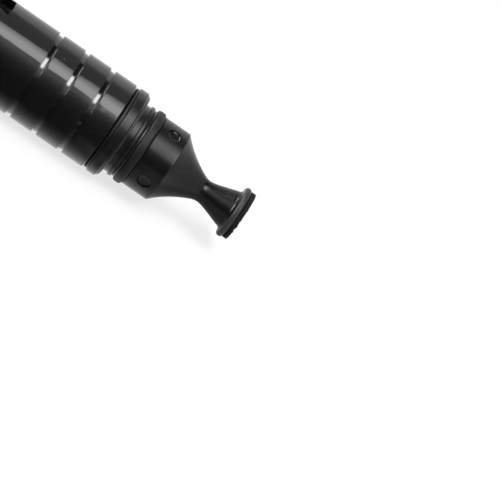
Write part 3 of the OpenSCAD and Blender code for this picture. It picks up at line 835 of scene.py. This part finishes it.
# Each softbox's left-to-right stations in metres, with its lower and upper edge there in degrees of elevation
SOFTBOX_EDGES = (
    (-0.03, 63, 80), (0.0, 60, 82), (0.02, 56, 83.5), (0.029, 53.5, 84.5), (0.038, 54, 85), (0.05, 54, 86),
    (0.0585, 52, 87), (0.067, 42, 90), (0.08, 39, 94), (0.13, 36, 94), (0.19, 44, 81), (0.24, 49, 76),
    (0.28, 58, 70),
)
SOFTBOX_DISTANCE = 0.5
SOFTBOX_LEVEL = 5.3
# The hot core: how much brighter it is, and where along X it starts and is full
SOFTBOX_CORE = (1.8, 0.13, 0.19)
SOFTBOX_FADE = (86, 69)
SOFTBOX_FADE_FROM = 0.35
REAR_BOX_EDGES = ((-0.38, 84, 130), (-0.26, 84, 130))
REAR_BOX_LEVEL = 18.0
SIDE_BOX_EDGES = ((-1.35, 24, 84), (-0.72, 24, 84))
SIDE_BOX_LEVEL = 30.0
FLAG_EDGES = ((0.13, 84, 126), (0.29, 80, 126))

CARD_DARK = 0.04
CARD_DISTANCE = 0.95
CARD_AZIMUTH = (-48, 40)
CARD_RISE = (-3, 84)
GLOW_FULL_AT = 46
GLOW_FALL = 12
SIDE_LEVEL = 1.05
SIDE_FROM = (10, 22)
SIDE_RISE = (15, 42)

# The card on the floor: where it goes from bright to dark in front of the barrel, and its two exceptions
FLOOR_DARK_Y = (-5 * MM, -12.5 * MM)
FLOOR_DARK_POWER = 2.6
FLOOR_DARK_END = (NOSE_LO.x + 8 * MM, NOSE_LO.x)
FAR_DARK_Y = (-40 * MM, -60 * MM)
COLLAR_GLOW_X = (NOSE_LO.x - 11 * MM, NOSE_LO.x + 1 * MM)
COLLAR_GLOW_Y = (-19 * MM, -13 * MM)
COLLAR_GLOW = 0.6
TIP_DARK_X = (NOSE_LO.x + 4 * MM, NOSE_LO.x + 8 * MM)
TIP_DARK_FRONT = (NOSE_LO.x + 15 * MM, NOSE_LO.x + 23 * MM)
TIP_DARK_SHARE = 0.58
CARD_FLOOR_Z = 0.3 * MM
CARD_FLOOR_MARGIN = 0.01
# The card's rows from behind the pen towards the camera, each with its length in pen lengths
CARD_FLOOR_ROWS = ((16 * MM, 1), (FLOOR_DARK_Y[1], 1), (-0.3, 4), (-1.0, 12))


def ray_kinds(t):
    """1 for the camera's own rays, and 1 for the rays that gloss or a clear part sends on."""
    path = t.add("ShaderNodeLightPath").outputs
    return path["Is Camera Ray"], t.math("MAXIMUM", path["Is Glossy Ray"], path["Is Transmission Ray"])


def make_world():
    """White all round, greyer overhead, with a weaker fill for what isn't seen or mirrored."""
    world = bpy.data.worlds.new("studio")
    bpy.context.scene.world = world
    world.use_nodes = True
    t = Tree(world.node_tree)
    shown = t.math("MAXIMUM", *ray_kinds(t))
    direction = t.add("ShaderNodeTexCoord").outputs["Generated"]
    up = t.add("ShaderNodeSeparateXYZ", {0: direction}).outputs["Z"]
    colour = t.blend_colours(t.spread(up, *SKY_FADE), grey(1), grey(SKY_TOP))
    backdrop = t.add("ShaderNodeBackground", {"Color": colour, "Strength": 1.0})
    fill = t.add("ShaderNodeBackground", {"Color": grey(1), "Strength": AMBIENT})
    mix = t.add("ShaderNodeMixShader", {0: shown, 1: fill.outputs[0], 2: backdrop.outputs[0]})
    t.add("ShaderNodeOutputWorld", {"Surface": mix.outputs[0]})


def make_floor():
    """White paper that keeps the pen's shadow and is lifted towards pure white."""
    bm = bmesh.new()
    bmesh.ops.create_grid(bm, x_segments=FLOOR_CELLS, y_segments=FLOOR_CELLS, size=FLOOR_HALF)
    material, t = new_material("floor_white")
    seen, shiny = ray_kinds(t)
    share = t.math("MULTIPLY_ADD", seen, FLOOR_LIFT, shiny, clamp=True)
    paper = t.add("ShaderNodeBsdfDiffuse", {"Color": grey(FLOOR_TONE)})
    glow = t.add("ShaderNodeEmission", {"Color": grey(1), "Strength": 1.0})
    mix = t.add("ShaderNodeMixShader", {0: share, 1: paper.outputs[0], 2: glow.outputs[0]})
    t.add("ShaderNodeOutputMaterial", {"Surface": mix.outputs[0]})
    floor = piece("floor", bm, material)


def glowing_sheet(name, rows, strength):
    """A sheet through a grid of points, out of the camera's sight, with the strength a function gives it."""
    bm = bmesh.new()
    grid = [[bm.verts.new(p) for p in row] for row in rows]
    for a, b in zip(grid, grid[1:]):
        for k in range(len(a) - 1):
            bm.faces.new((a[k], a[k + 1], b[k + 1], b[k]))
    material, t = new_material(name)
    glow = t.add("ShaderNodeEmission", {"Color": grey(1), "Strength": strength(t)})
    t.add("ShaderNodeOutputMaterial", {"Surface": glow.outputs[0]})
    sheet = piece(name, bm, material)
    sheet.visible_camera = False
    return sheet


def only_for_reflections(sheet):
    sheet.visible_diffuse = sheet.visible_shadow = sheet.visible_transmission = False


def steps(low, high):
    """The values from low to high of a sheet's rows or columns."""
    return [low + (high - low) * i / SHEET_STEPS for i in range(SHEET_STEPS + 1)]


def around(distance, azimuth, elevation):
    """The point at a distance from the frame's origin."""
    a, e = math.radians(azimuth), math.radians(elevation)
    return Vector((math.sin(a) * math.cos(e), -math.cos(a) * math.cos(e), math.sin(e))) * distance


def in_degrees(t, radians):
    return t.math("MULTIPLY", radians, math.degrees(1))


def front_glow(t):
    """Dark below, brighter towards the softbox's lower edge and towards both sides."""
    x, y, z = t.add("ShaderNodeSeparateXYZ", {0: t.place()}).outputs
    rise = in_degrees(t, t.math("ARCSINE", t.math("DIVIDE", z, CARD_DISTANCE)))
    fall = t.math("DIVIDE", t.math("SUBTRACT", rise, GLOW_FULL_AT), GLOW_FALL)
    middle = t.math("ADD", t.math("MINIMUM", t.math("EXPONENT", fall), 1.0), CARD_DARK)
    turn = in_degrees(t, t.math("ARCTAN2", t.math("ABSOLUTE", x), t.math("ABSOLUTE", y)))
    side = t.math("MULTIPLY", t.spread(turn, *SIDE_FROM), t.spread(rise, *SIDE_RISE))
    return t.math("MULTIPLY_ADD", side, SIDE_LEVEL, middle)


def floor_glow(t):
    """Bright under the pen, dark on the floor in front of the barrel and half dark under the tip."""
    x, y = t.add("ShaderNodeSeparateXYZ", {0: t.place()}).outputs[:2]
    near = t.math("POWER", t.spread(y, FLOOR_DARK_Y[1], FLOOR_DARK_Y[0]), FLOOR_DARK_POWER)
    before = t.math("MULTIPLY", t.math("SUBTRACT", 1.0, near), t.spread(x, *FLOOR_DARK_END))
    collar = t.math("MULTIPLY", t.spread(y, *COLLAR_GLOW_Y), t.spread(x, *COLLAR_GLOW_X, 0, COLLAR_GLOW))
    before = t.math("MINIMUM", before, t.math("SUBTRACT", 1.0, collar))
    before = t.math("MAXIMUM", before, t.spread(y, *FAR_DARK_Y))
    under_tip = t.spread(x, *TIP_DARK_FRONT, TIP_DARK_SHARE, 0)
    under_tip = t.math("MULTIPLY", t.spread(x, *TIP_DARK_X), under_tip)
    return t.math("MULTIPLY_ADD", t.math("MAXIMUM", before, under_tip), CARD_DARK - 1, 1.0)


def softbox_glow(t):
    """Fading towards its upper edge, with a hotter core towards the tip's side."""
    x, y, z = t.add("ShaderNodeSeparateXYZ", {0: t.place()}).outputs
    gain, start, end = SOFTBOX_CORE
    level = t.math("MULTIPLY_ADD", t.spread(x, start, end), gain * SOFTBOX_LEVEL, SOFTBOX_LEVEL)
    rise = in_degrees(t, t.math("ARCTAN2", z, t.math("MULTIPLY", y, -1.0)))
    return t.math("MULTIPLY", level, t.spread(rise, *SOFTBOX_FADE, SOFTBOX_FADE_FROM, 1.0))


def make_cards():
    """Dark cards in front of the pen and on the floor keep the gloss dark, as a light tent's opening does."""
    dome = [[around(CARD_DISTANCE, a, e) for a in steps(*CARD_AZIMUTH)] for e in steps(*CARD_RISE)]
    only_for_reflections(glowing_sheet("card_front", dome, front_glow))
    ground = [
        [Vector((x, y, CARD_FLOOR_Z)) for x in (
            BARREL_LO.x * scale - CARD_FLOOR_MARGIN, PAD_HI.x * scale + CARD_FLOOR_MARGIN,
        )]
        for y, scale in CARD_FLOOR_ROWS
    ]
    only_for_reflections(glowing_sheet("card_floor", ground, floor_glow))


def bent_sheet(name, edges, strength):
    """A sheet bent round the pen, from stations along it with their lower and upper edges in degrees."""
    rows = [
        [
            Vector((x, -SOFTBOX_DISTANCE * math.cos(e), AXIS_Z + SOFTBOX_DISTANCE * math.sin(e)))
            for e in map(math.radians, steps(low, high))
        ]
        for x, low, high in edges
    ]
    return glowing_sheet(name, rows, strength)


def make_softboxes():
    """A softbox over the pen, wider towards the pad's end. Only gloss shows the rest: a box past the brush's
    end overhead, one further out and lower, and a flag that keeps the grooves dark above their highlights."""
    bent_sheet("softbox", SOFTBOX_EDGES, softbox_glow)
    only_for_reflections(bent_sheet("softbox_rear", REAR_BOX_EDGES, lambda t: REAR_BOX_LEVEL))
    only_for_reflections(bent_sheet("softbox_side", SIDE_BOX_EDGES, lambda t: SIDE_BOX_LEVEL))
    only_for_reflections(bent_sheet("flag", FLAG_EDGES, lambda t: CARD_DARK))


def main():
    bpy.context.scene.view_settings.view_transform = "Standard"
    make_camera()
    materials = make_materials()
    dress_nodes(materials)
    make_nose_skin(materials)
    make_joint_shadow_ring(materials)
    make_lug_faces(materials)
    make_pad(materials)
    make_hairs(materials)
    make_world()
    make_floor()
    make_cards()
    make_softboxes()


main()
